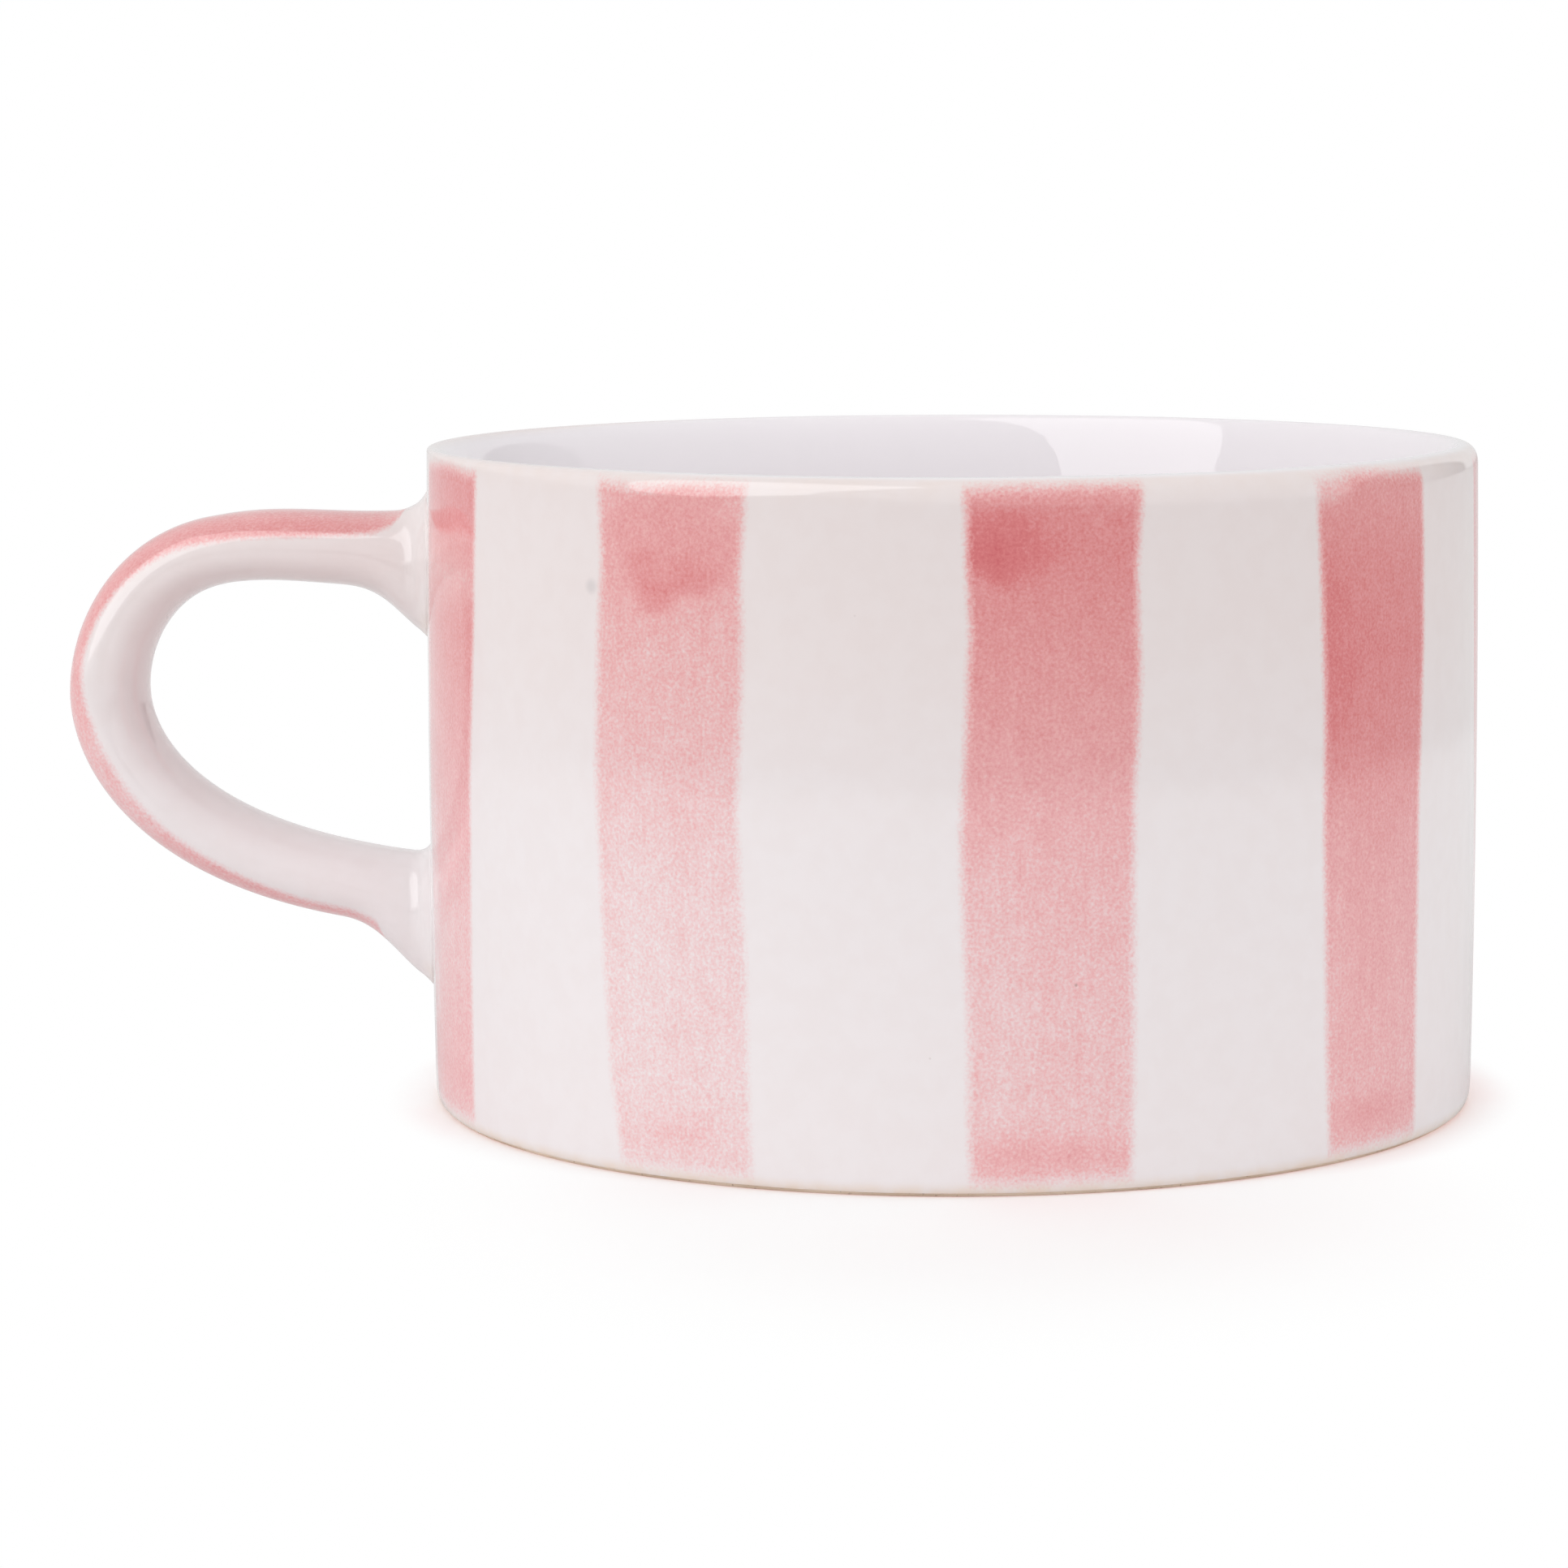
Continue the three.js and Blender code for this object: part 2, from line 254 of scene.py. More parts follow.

# Paler paint along the ridge of the upper part, a painted highlight for the glare from above:
# by how much, out to which turn, up to which share of the length, and how softly these end
RIDGE_PAINTED_HIGHLIGHT = 0.16
RIDGE_EDGE = 55
RIDGE_SOFTNESS = 35
RIDGE_END = 0.32
RIDGE_FADE = 0.12

# Radius at which the liner's glaze starts on the lip, and how softly. FOOT_ZONE is the width of
# the ring at the foot that still counts as outside.
LINER_START = RIM_RADIUS - WALL / 2 + 1.1
LINER_SOFTNESS = 0.8
FOOT_ZONE = 3

# Where the glaze is thin and clay shows: under the lip and at the foot. Under each root of the
# handle, next to the wall, the same clay colour is painted shade in the crease.
THIN_LIP_START = 0.35
THIN_LIP_END = 3.2
THIN_LIP_SHARE = 0.14
THIN_FOOT_END = 1.7
JOINT_PAINTED_SHADE_SHARE = 0.7
JOINT_SHADE_TURN = 0.3
JOINT_SHADE_START = 0.2
JOINT_SHADE_FADE = 1.0

# Values that each glazed vertex carries
GLAZE_ATTRIBUTES = ("stripe", "paint", "liner", "thin_glaze_and_shade")

# Colours as they look in plain light, but for the ground low on the wall: between the heights of
# the turns the ground goes from its high colour to a lighter, cooler low one, which is painted
# light and reflection from the bright table. The paint reaches its last colour at the strength
# DEEPEST.
WHITE = (1.0, 1.0, 1.0)
GROUND_HIGH = (0.79, 0.718, 0.712)
GROUND_LOW_PAINTED_TABLE_LIGHT = (0.80, 0.750, 0.758)
GROUND_TABLE_LIGHT_TURNS = (28, 58)
DUSKIER = (0.99, 0.983, 0.98)
LINER = (0.81, 0.775, 0.797)
BODY_CLAY = (0.80, 0.64, 0.52)
PAINT_HALF = (0.995, 0.57, 0.575)
PAINT_FULL = (0.87, 0.31, 0.32)
PAINT_DEEP = (0.76, 0.19, 0.21)
DEEPEST = 1.4
GRIT_BROWN = (0.42, 0.3, 0.23)
SPECK_BROWN = (0.33, 0.25, 0.22)

# The grey smudge left of the second stripe, and the specks: one cell in seven holds one
SMUDGE = (-33.6, -43.5, 57.5)
SMUDGE_REACH = (0.25, 1.05)
SMUDGE_GREY = (0.45, 0.43, 0.44)
SMUDGE_STRENGTH = 0.32
SPECK_SCALE = 150
SPECK_LOT = 0.86
SPECK_REACH = (0.035, 0.012)
SPECK_STRENGTH = 0.5

# Noise of the glaze in cells per metre, and how much of each goes into the edges and the paint
GRAIN_SCALE = 3300
MOTTLE_SCALE = 420
DRIFT_SCALE = 70
STREAK_SCALE = 1500
STREAK_SQUEEZE = (1.0, 1.0, 0.07)
EDGE_DRIFT = 0.4
EDGE_GRAIN = 0.7
EDGE_SOFTNESS = 0.75
PAINT_GRAIN = 0.7
PAINT_MOTTLE = 0.14
PAINT_STREAK = 0.16
GROUND_DRIFT = 0.3
CLOUD_TURNS = (0.35, 0.65)
THIN_TURNS = (0.0, 0.8)

# Surface of the glaze: orange peel, slower swell and gloss
PEEL_SCALE = 520
SWELL_SCALE = 90
SWELL_SHARE = 3.0
GLAZE_BUMP = 0.10
BUMP_DISTANCE = 0.1
DULL_TURNS = (0.2, 0.8)
ROUGHNESS_LEAST = 0.012
ROUGHNESS_RANGE = 0.012
GLAZE_IOR = 1.5

# Bare clay: clouds, grit and turning rings
CLAY_CLOUD_SCALE = 120
CLAY_CLOUD_TURNS = (0.3, 0.7)
CLAY_CLOUD_SHADE = (0.84, 0.8, 0.76)
GRIT_SCALE = 2600
GRIT_TURNS = (0.62, 0.72)
RING_SCALE = 260
RING_SHARE = 0.5
CLAY_BUMP = 0.5
CLAY_ROUGHNESS = 0.85

# Table: what the camera sees in the shadow, where that is, and how bright the table is to light
# and reflections, near the cup, beyond TABLE_REACH and on its pale side
FLOOR_GLOW = (0.51, 0.18, 0.16)
FLOOR_SHADE = (0.46, 0.79, 0.81)
SHADOW_MIDDLE = (3, -62)
SHADOW_REACH = (16, 58)
CONTACT_REACH = (53.6, 60.5)
TABLE_WHITE = 0.80
TABLE_SURROUND = 0.12
TABLE_BEHIND = 0.95
TABLE_REACH = 348
TABLE_EDGE = 20
TABLE_HALF_WIDTH = 6000
PALE_SIDE = -165
PALE_SIDE_TURNS = (-0.3, 1.1)

# Camera fitted to the photograph: place (mm), turns (degrees) and lens
CAMERA_PLACE = (13.10, -500.14, 98.354)
CAMERA_TURN = 3.52
CAMERA_PITCH = 7.477
CAMERA_ROLL = -0.352
CAMERA_LENS = 109.55
CAMERA_SENSOR = 36
CAMERA_CLIP = 10

# Soft boxes: angle round the cup, elevation, distance, width, height (mm) and radiance
LAMPS = {
    "key": (-50, 30, 1300, 1100, 900, 1.54),
    "fill": (85, 25, 1300, 1100, 900, 1.1),
    "behind": (-155, 55, 1300, 1500, 1300, 0.32),
}
# Panels that show only as reflections in the glaze, in the same order of values
REFLECTORS = {
    "window": (-47.5, 37, 1300, 1120, 1720, 2.4),
}

# Narrow light straight down into the cup: height, size, cone (degrees) and power (W)
WELL_HEIGHT = 900
WELL_RADIUS = 8
WELL_CONE = 6.2
WELL_POWER = 6.0

# Even light from all round, and what is left of it overhead and on the dark side
SKY_STRENGTH = 1.44
SKY_TOP = 0.32
SKY_DARK_SIDE = 0.4
SKY_DARK_EDGE = (0.1, 0.05)

# The room in reflections: its dark side and its back, with their edges as cosines and the
# elevations over which they end or start
ROOM_COLOUR = (0.8, 0.8, 0.8)
DARK_SIDE = 124
DARK_SIDE_HALF_WIDTH = 26
DARK_SIDE_EDGE = 0.01
DARK_SIDE_DEPTH = 0.85
DARK_SIDE_END = (22, 48)
BACK_SIDE_HALF_WIDTH = 38
BACK_SIDE_EDGE = 0.1
BACK_SIDE_LEVEL = 0.9
BACK_SIDE_START = (7, 24)


def ramp(stops, place):
    """Straight-line value between given stops, held at both ends."""
    if place <= stops[0][0]:
        return stops[0][1]
    for (low, start), (high, end) in zip(stops, stops[1:]):
        if place <= high:
            return start + (end - start) * (place - low) / (high - low)
    return stops[-1][1]


def spread(start, end, steps):
    return [start + (end - start) * i / steps for i in range(steps + 1)]


def smooth(value):
    value = min(1.0, max(0.0, value))
    return value * value * (3 - 2 * value)


def power(value, exponent):
    return math.copysign(abs(value) ** exponent, value)


def signed(angle):
    """An angle of 0 to 360 degrees, as one from -180 to 180."""
    return angle if angle <= 180 else angle - 360


def wrapped(angle):
    """Any angle, as one from -180 up to just under 180 degrees."""
    return (angle + 180) % 360 - 180


def heading(angle, elevation=0.0):
    """Unit vector at an angle round the cup and an elevation, both in degrees."""
    turn = math.radians(angle)
    lift = math.radians(elevation)
    level = math.cos(lift)
    return Vector((math.sin(turn) * level, -math.cos(turn) * level, math.sin(lift)))


def wall_radius(height):
    """Outer radius of the glazed wall, with its slight belly."""
    share = min(1.0, height / HEIGHT)
    straight = BASE_RADIUS + (TOP_RADIUS - BASE_RADIUS) * share
    return straight + 4 * BELLY * share * (1 - share)


def lip_height(angle):
    """The front of the lip is a little lower, with a slight waver all round."""
    waver = LIP_WAVER * (1 + math.sin(LIP_WAVES * math.radians(angle) + LIP_WAVE_START))
    return HEIGHT - ramp(LIP_DROP, angle) - waver


def crest_at(angle):
    """Radius of the highest line of the lip."""
    return TOP_RADIUS - ramp(CREST_INSET, angle)


def hand_of_potter(angle, height):
    """How far the turned wall falls short of true, in millimetres."""
    turn = math.radians(angle)
    spot = Vector((HAND_ROUND * math.sin(turn), HAND_ROUND * math.cos(turn), height / HAND_UP))
    return HAND_DEPTH * (1 + noise.noise(spot)) / 2


def curve_quarter(width, rise, fullness, steps):
    """Offsets of a full quarter curve, from its side to its top."""
    points = []
    for turn in spread(0, math.pi / 2, steps):
        across = width * max(0.0, math.cos(turn)) ** (2 / fullness)
        up = rise * max(0.0, math.sin(turn)) ** (2 / fullness)
        points.append((across, up))
    return points


def cup_profile(angle, inset, first_turn):
    """Radius and height from the foot, up the wall, over the lip and down to the middle."""
    points = []
    for turn in spread(math.radians(first_turn), 0, FOOT_STEPS):
        radius = BASE_RADIUS - FOOT_EDGE_WIDTH + (FOOT_EDGE_WIDTH - inset) * math.cos(turn)
        points.append((radius, FOOT_EDGE_HEIGHT * (1 + math.sin(turn))))
    rise = ramp(LIP_OUTER_RISE, angle)
    crest = lip_height(angle)
    crest_radius = crest_at(angle)
    for height in spread(FOOT_EDGE_HEIGHT, crest - rise, WALL_STEPS)[1:]:
        points.append((wall_radius(height) - inset, height))
    shoulder = wall_radius(crest - rise)
    outer = curve_quarter(shoulder - crest_radius - inset, rise - inset, LIP_FULLNESS, LIP_STEPS)
    points += [(crest_radius + across, crest - rise + up) for across, up in outer[1:]]
    return points + inside_profile(crest, crest_radius, inset)


def inside_profile(crest, crest_radius, inset):
    """Radius and height from the crest of the lip down the inside to the middle of the floor."""
    across_lip = crest_radius - RIM_RADIUS + WALL - inset
    inner = curve_quarter(across_lip, LIP_INNER_RISE - inset, LIP_INNER_FULLNESS, LIP_STEPS)
    inner.reverse()
    top = crest - LIP_INNER_RISE
    points = [(crest_radius - across, top + up) for across, up in inner[1:]]
    bottom = FLOOR + INNER_CORNER_RADIUS
    for share in spread(0, 1, INNER_STEPS)[1:]:
        radius = RIM_RADIUS - WALL + inset - INNER_TAPER * share
        points.append((radius, top + (bottom - top) * share))
    corner = RIM_RADIUS - WALL - INNER_TAPER - INNER_CORNER_RADIUS
    reach = INNER_CORNER_RADIUS + inset
    for turn in spread(0, -math.pi / 2, CORNER_STEPS)[1:]:
        points.append((corner + reach * math.cos(turn), bottom + reach * math.sin(turn)))
    for share in spread(1, 0, FLOOR_STEPS)[1:]:
        points.append((corner * share, FLOOR - inset))
    return points


def on_cup(angle, radius, height):
    """Place of a profile point in space. The unevenness fades out towards the axis."""
    turn = math.radians(angle)
    radius = max(0.0, radius - hand_of_potter(angle, height) * min(1.0, radius / HAND_FADE))
    return Vector((radius * math.sin(turn), -radius * math.cos(turn), height))


def new_piece(name, vertices, faces, material):
    """A smooth piece of the mug, from vertices in millimetres."""
    mesh = bpy.data.meshes.new(name)
    mesh.from_pydata([vertex * MM for vertex in vertices], [], faces)
    mesh.validate()
    mesh.shade_smooth()
    mesh.set_sharp_from_angle(angle=math.radians(CREASE))
    mesh.materials.append(material)
    piece = bpy.data.objects.new(name, mesh)
    bpy.context.scene.collection.objects.link(piece)
    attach(piece, "root")
    return piece


def set_attributes(piece, rows):
    """Gives each vertex its row of values, in the order of GLAZE_ATTRIBUTES."""
    for name, values in zip(GLAZE_ATTRIBUTES, zip(*rows)):
        attribute = piece.data.attributes.new(name, "FLOAT", "POINT")
        attribute.data.foreach_set("value", values)


def turned_mesh(loop):
    """A closed body turned about the axis, as (angle, profile point) of each vertex, and faces.

    loop gives the points of the closed profile at an angle. Each place on the axis has one vertex.
    """
    angles = [360 * i / SEGMENTS for i in range(SEGMENTS)]
    columns = [loop(signed(angle)) for angle in angles]
    vertices = []
    rings = []
    for place, (radius, _) in enumerate(columns[0]):
        first = len(vertices)
        if radius == 0:
            rings.append([first] * SEGMENTS)
            vertices.append((0.0, columns[0][place]))
        else:
            rings.append(list(range(first, first + SEGMENTS)))
            vertices += [(angle, column[place]) for angle, column in zip(angles, columns)]
    faces = []
    for low, high in zip(rings, rings[1:] + rings[:1]):
        for i in range(SEGMENTS):
            j = (i + 1) % SEGMENTS
            face = list(dict.fromkeys([low[i], low[j], high[j], high[i]]))
            if len(face) > 2:
                faces.append(face)
    return vertices, faces


def cup_glaze_loop(angle):
    """Profile of the coat: over its face, then back along the clay under it."""
    waver = noise.noise(Vector((angle / GLAZE_LINE_SPREAD, GLAZE_LINE_SEED, 0.0)))
    line = -GLAZED_FOOT_TURN + GLAZE_LINE_WAVER * waver
    coat = cup_profile(angle, 0.0, line)
    seat = cup_profile(angle, GLAZE, line)
    return coat + seat[::-1]


def cup_clay_loop(angle):
    """Profile of the clay cup, closed by its flat underside on the axis."""
    return cup_profile(angle, CLAY_INSET, -90) + [(0.0, 0.0)]


def stripe_at(angle, height):
    """Distance inside the nearest stripe in millimetres, and the paint's strength there."""
    best = NO_STRIPE
    strength = 0.0
    for name, (left, right) in STRIPE_EDGES.items():
        middle = (left[0][1] + right[0][1]) / 2
        turn = wrapped(angle - middle) + middle
        across = min(turn - ramp(left, height), ramp(right, height) - turn)
        across *= math.radians(1) * RIM_RADIUS
        if across > best:
            best = across
            strength = ramp(STRIPE_STRENGTH[name], height)
    top = (STRIPE_TOP - stripe_end_waver(angle) - height) / END_SOFTNESS
    bottom = (height - STRIPE_BOTTOM) / END_SOFTNESS
    return min(best, top, bottom), strength


def stripe_end_waver(angle):
    """Unevenness of the stripes' top ends."""
    return END_WAVER * noise.noise(Vector((angle / END_WAVER_SPREAD, END_WAVER_SEED, 0.0)))


def blotch_at(angle, height):
    """Change of the paint's strength by the blotches, whose outlines wobble."""
    change = 0.0
    for middle, level, across, up, amount, softness in BLOTCHES:
        far = math.hypot(wrapped(angle - middle) / across, (height - level) / up)
        spot = Vector((angle / BLOTCH_GRAIN[0], height / BLOTCH_GRAIN[1], level))
        far += BLOTCH_WOBBLE * noise.noise(spot)
        change += amount * smooth((1 - far) / softness + 0.5)
    return change


def thin_at(angle, height):
    """How much clay shows through the outer coat: a little under the lip, more at the foot."""
    below = lip_height(angle) - height
    near_lip = smooth(below / THIN_LIP_START) * smooth(1 - below / THIN_LIP_END)
    near_foot = smooth(1 - height / THIN_FOOT_END)
    return max(THIN_LIP_SHARE * near_lip, near_foot)


def cup_paint(angle, radius, height):
    """The values of GLAZE_ATTRIBUTES at a place of the cup's profile."""
    distance, strength = stripe_at(angle, height)
    strength += blotch_at(angle, height)
    liner = smooth((LINER_START - radius) / LINER_SOFTNESS)
    at_foot = height < HEIGHT / 2 and radius > BASE_RADIUS - FOOT_ZONE
    if radius > crest_at(angle) or at_foot:
        return distance, strength, liner, thin_at(angle, height)
    return NO_STRIPE, strength, liner, 0.0


def make_cup_glaze(material):
    places, faces = turned_mesh(cup_glaze_loop)
    vertices = [on_cup(angle, *place) for angle, place in places]
    piece = new_piece("cup_glaze", vertices, faces, material)
    set_attributes(piece, [cup_paint(signed(angle), *place) for angle, place in places])
    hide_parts("liner_glaze", "outer_glaze")


def make_cup_clay(material):
    places, faces = turned_mesh(cup_clay_loop)
    vertices = [on_cup(angle, *place) for angle, place in places]
    piece = new_piece("cup_clay", vertices, faces, material)
    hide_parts("cup_body")


def handle_line():
    """Even points along the centre line, with their distance from the upper root."""
    line = []
    for curve in HANDLE_CURVES:
        knots = [Vector((-out, 0.0, height)) for out, height in curve]
        line += interpolate_bezier(*knots, CURVE_POINTS)[bool(line):]
    distances = [0.0]
    for here, there in zip(line, line[1:]):
        distances.append(distances[-1] + (there - here).length)
    return line, distances


def flare(form, distance):
    """Swelling towards a root: hollow all the way (0), or rounding off at the wall."""
    swell, length, ease = form
    share = min(1.0, max(0.0, 1 - distance / length))
    if ease == 0:
        return swell * share * share
    return swell * smooth(share ** ease)


def point_on_line(line, distances, distance):
    """Point and direction at a distance, running straight on past both ends."""
    total = distances[-1]
    inside = min(total, max(0.0, distance))
    i = 1
    while i < len(line) - 1 and distances[i] < inside:
        i += 1
    share = (inside - distances[i - 1]) / (distances[i] - distances[i - 1])
    before = line[max(0, i - POINTS_BEFORE)]
    after = line[min(len(line) - 1, i + POINTS_AFTER)]
    direction = (after - before).normalized()
    point = line[i - 1].lerp(line[i], share) + direction * (distance - inside)
    return point, direction


def handle_point(point, direction, distance, total, turn):
    """One point of a ring, swollen by how near the wall it is, and its distance from each root."""
    across = power(math.cos(turn), 2 / SECTION_FULLNESS)
    aside = power(math.sin(turn), 2 / SECTION_FULLNESS)
    outward = Vector((direction.z, 0.0, -direction.x))
    upper = distance
    lower = total - distance
    for _ in range(FITTING_STEPS):
        fillets = flare(FILLET, upper) + flare(FILLET, lower)
        sides = flare(SIDE_FLARE, upper) + flare(SIDE_FLARE, lower)
        outer = flare(UPPER_OUTER_FLARE, upper) + flare(LOWER_OUTER_FLARE, lower)
        inner = flare(UPPER_INNER_FLARE, upper) + flare(LOWER_INNER_FLARE, lower)
        half = ramp(HALF_THICKNESS, distance / total) + fillets + (outer + inner) / 2
        vertex = point + outward * (across * half + (outer - inner) / 2)
        vertex.y += aside * (HALF_WIDTH + sides + fillets)
        off = math.hypot(vertex.x, vertex.y) - RIM_RADIUS
        if distance < total / 2:
            upper = off
        else:
            lower = off
    return vertex, upper, lower


def handle_stations(total):
    """Distances along the line, closer together at the roots."""
    stations = []
    for share in spread(0, 1, HANDLE_STATIONS):
        crowded = share - CROWDING * math.sin(2 * math.pi * share) / (2 * math.pi)
        stations.append(crowded * (total + 2 * HANDLE_SUNK) - HANDLE_SUNK)
    return stations


def handle_faces():
    """Quads between the rings of the handle, and a fan to the last two vertices at its ends."""
    last = HANDLE_STATIONS * HANDLE_SIDES
    count = last + HANDLE_SIDES
    faces = []
    for side in range(HANDLE_SIDES):
        after = (side + 1) % HANDLE_SIDES
        for low in range(0, last, HANDLE_SIDES):
            high = low + HANDLE_SIDES
            faces.append([low + side, low + after, high + after, high + side])
        faces.append([count, after, side])
        faces.append([count + 1, last + side, last + after])
    return faces


def handle_paint(turn, share, upper, lower):
    """The values of GLAZE_ATTRIBUTES at a place of the handle."""
    off = math.degrees(abs(math.remainder(turn, 2 * math.pi)))
    across = (ramp(HANDLE_PAINT_TURN, share) - off) * math.radians(1) * HALF_WIDTH
    # Paler paint along the upper ridge: a painted highlight of the glare from above.
    ridge_highlight = smooth((RIDGE_EDGE - off) / RIDGE_SOFTNESS) * smooth((RIDGE_END - share) / RIDGE_FADE)
    strength = ramp(HANDLE_PAINT_STRENGTH, share) - RIDGE_PAINTED_HIGHLIGHT * ridge_highlight
    # Clay colour on the underside of each root, next to the wall: painted shade in the crease.
    facing = -math.cos(turn) if upper < lower else math.cos(turn)
    under = smooth(facing - JOINT_SHADE_TURN)
    near = smooth(1 - (min(upper, lower) - JOINT_SHADE_START) / JOINT_SHADE_FADE)
    return across / HANDLE_PAINT_SOFTNESS, strength, 0.0, JOINT_PAINTED_SHADE_SHARE * under * near


def make_handle_glaze(material):
    line, distances = handle_line()
    total = distances[-1]
    vertices = []
    rows = []
    for distance in handle_stations(total):
        point, direction = point_on_line(line, distances, distance)
        share = min(1.0, max(0.0, distance / total))
        for i in range(HANDLE_SIDES):
            turn = 2 * math.pi * i / HANDLE_SIDES
            vertex, upper, lower = handle_point(point, direction, distance, total, turn)
            vertices.append(vertex)
            rows.append(handle_paint(turn, share, upper, lower))
    for distance in (-HANDLE_SUNK, total + HANDLE_SUNK):
        vertices.append(point_on_line(line, distances, distance)[0])
        rows.append((NO_STRIPE, 0.0, 0.0, 0.0))
    piece = new_piece("handle_glaze_skin", vertices, handle_faces(), material)
    set_attributes(piece, rows)
    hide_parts("handle_glaze", "handle_clay", "upper_slip_joint", "lower_slip_joint")


class Nodes:
    """Short calls for building a node tree."""

    # Sockets of the Mix node when it mixes colours
    COLOUR_A = 6
    COLOUR_B = 7
    COLOUR_RESULT = 2

    def __init__(self, tree):
        self.tree = tree

    def add(self, kind, inputs=None, **settings):
        node = self.tree.nodes.new(kind)
        for key, value in settings.items():
            setattr(node, key, value)
        for key, value in (inputs or {}).items():
            self.feed(node, key, value)
        return node

    def feed(self, node, key, value):
        if isinstance(value, bpy.types.NodeSocket):
            self.tree.links.new(value, node.inputs[key])
        else:
            node.inputs[key].default_value = value

    def place(self):
        return self.add("ShaderNodeTexCoord").outputs["Object"]

    def attribute(self, name):
        return self.add("ShaderNodeAttribute", attribute_name=name).outputs["Fac"]

    def math(self, operation, *values):
        node = self.add("ShaderNodeMath", dict(enumerate(values)), operation=operation)
        return node.outputs[0]

    def vector(self, operation, *values, result="Vector"):
        node = self.add("ShaderNodeVectorMath", dict(enumerate(values)), operation=operation)
        return node.outputs[result]

    def noise(self, vector, scale, detail=2.0, roughness=0.5):
        inputs = {"Vector": vector, "Scale": scale, "Detail": detail, "Roughness": roughness}
        return self.add("ShaderNodeTexNoise", inputs).outputs["Fac"]

    def around(self, value, amount):
        """A noise value turned into a change of about this much either way."""
        return self.math("MULTIPLY", self.math("SUBTRACT", value, 0.5), amount)

    def remap(self, value, low, high, start=0.0, end=1.0, kind="SMOOTHSTEP"):
        """From start at low to end at high, held beyond both."""
        inputs = {"Value": value, "From Min": low, "From Max": high, "To Min": start, "To Max": end}
        return self.add("ShaderNodeMapRange", inputs, interpolation_type=kind).outputs["Result"]

    def mix(self, share, start, end, blend="MIX"):
        inputs = {"Factor": share, self.COLOUR_A: start, self.COLOUR_B: end}
        node = self.add("ShaderNodeMix", inputs, data_type="RGBA", blend_type=blend)
        return node.outputs[self.COLOUR_RESULT]

    def bump(self, height, strength):
        inputs = {"Height": height, "Strength": strength, "Distance": BUMP_DISTANCE * MM}
        return self.add("ShaderNodeBump", inputs).outputs["Normal"]

    def shader(self, kind, inputs):
        return self.add("ShaderNode" + kind, inputs).outputs[0]

    def blend(self, share, first, second):
        """The first shader where share is 0 and the second where it is 1."""
        return self.shader("MixShader", {0: share, 1: first, 2: second})


def rgba(colour):
    return (*colour, 1.0)


def new_material(name):
    material = bpy.data.materials.new(name)
    material.use_nodes = True
    tree = material.node_tree
    return material, Nodes(tree), tree.nodes["Principled BSDF"]


def paint_tint(nodes, place, grain, mottle, drift):
    """Colour of the brushed paint, which multiplies the ground: white where there is none."""
    streak = nodes.noise(nodes.vector("MULTIPLY", place, STREAK_SQUEEZE), STREAK_SCALE)
    edge = nodes.math("ADD", nodes.attribute("stripe"), nodes.around(drift, EDGE_DRIFT))
    edge = nodes.math("ADD", edge, nodes.around(grain, EDGE_GRAIN))
    painted = nodes.remap(edge, -EDGE_SOFTNESS, EDGE_SOFTNESS)
    strength = nodes.attribute("paint")
    for value, amount in ((grain, PAINT_GRAIN), (mottle, PAINT_MOTTLE), (streak, PAINT_STREAK)):
        strength = nodes.math("ADD", strength, nodes.around(value, amount))
    strength = nodes.math("MULTIPLY", strength, painted)
    tint = nodes.add("ShaderNodeValToRGB", {"Fac": nodes.math("DIVIDE", strength, DEEPEST)})
    stops = tint.color_ramp.elements
    stops[0].color = rgba(WHITE)
    stops[1].color = rgba(PAINT_DEEP)
    stops.new(0.5 / DEEPEST).color = rgba(PAINT_HALF)
    stops.new(1.0 / DEEPEST).color = rgba(PAINT_FULL)
    return tint.outputs["Color"]


def ground_colour(nodes, place, mottle, drift):
    """White ground and liner, with the clay showing where they are thin. Low on the wall the ground
    is painted lighter, as light and reflection from the table; under the handle's roots the clay
    colour is painted shade.
    """
    height = nodes.add("ShaderNodeSeparateXYZ", {0: place}).outputs["Z"]
    # The ground turns lighter low on the wall: painted light and reflection from the table.
    high = nodes.remap(height, GROUND_TABLE_LIGHT_TURNS[0] * MM, GROUND_TABLE_LIGHT_TURNS[1] * MM)
    high = nodes.math("ADD", high, nodes.around(drift, GROUND_DRIFT))
    ground = nodes.mix(high, rgba(GROUND_LOW_PAINTED_TABLE_LIGHT), rgba(GROUND_HIGH))
    cloudy = nodes.mix(nodes.remap(mottle, *CLOUD_TURNS), rgba(WHITE), rgba(DUSKIER))
    ground = nodes.mix(1.0, ground, cloudy, "MULTIPLY")
    ground = nodes.mix(nodes.attribute("liner"), ground, rgba(LINER))
    # The clay colour here is thin glaze at the lip and foot, and painted shade under the handle's
    # roots.
    thin_glaze_and_shade = nodes.math("MULTIPLY", nodes.attribute("thin_glaze_and_shade"), nodes.remap(mottle, *THIN_TURNS))
    return nodes.mix(thin_glaze_and_shade, ground, rgba(BODY_CLAY))


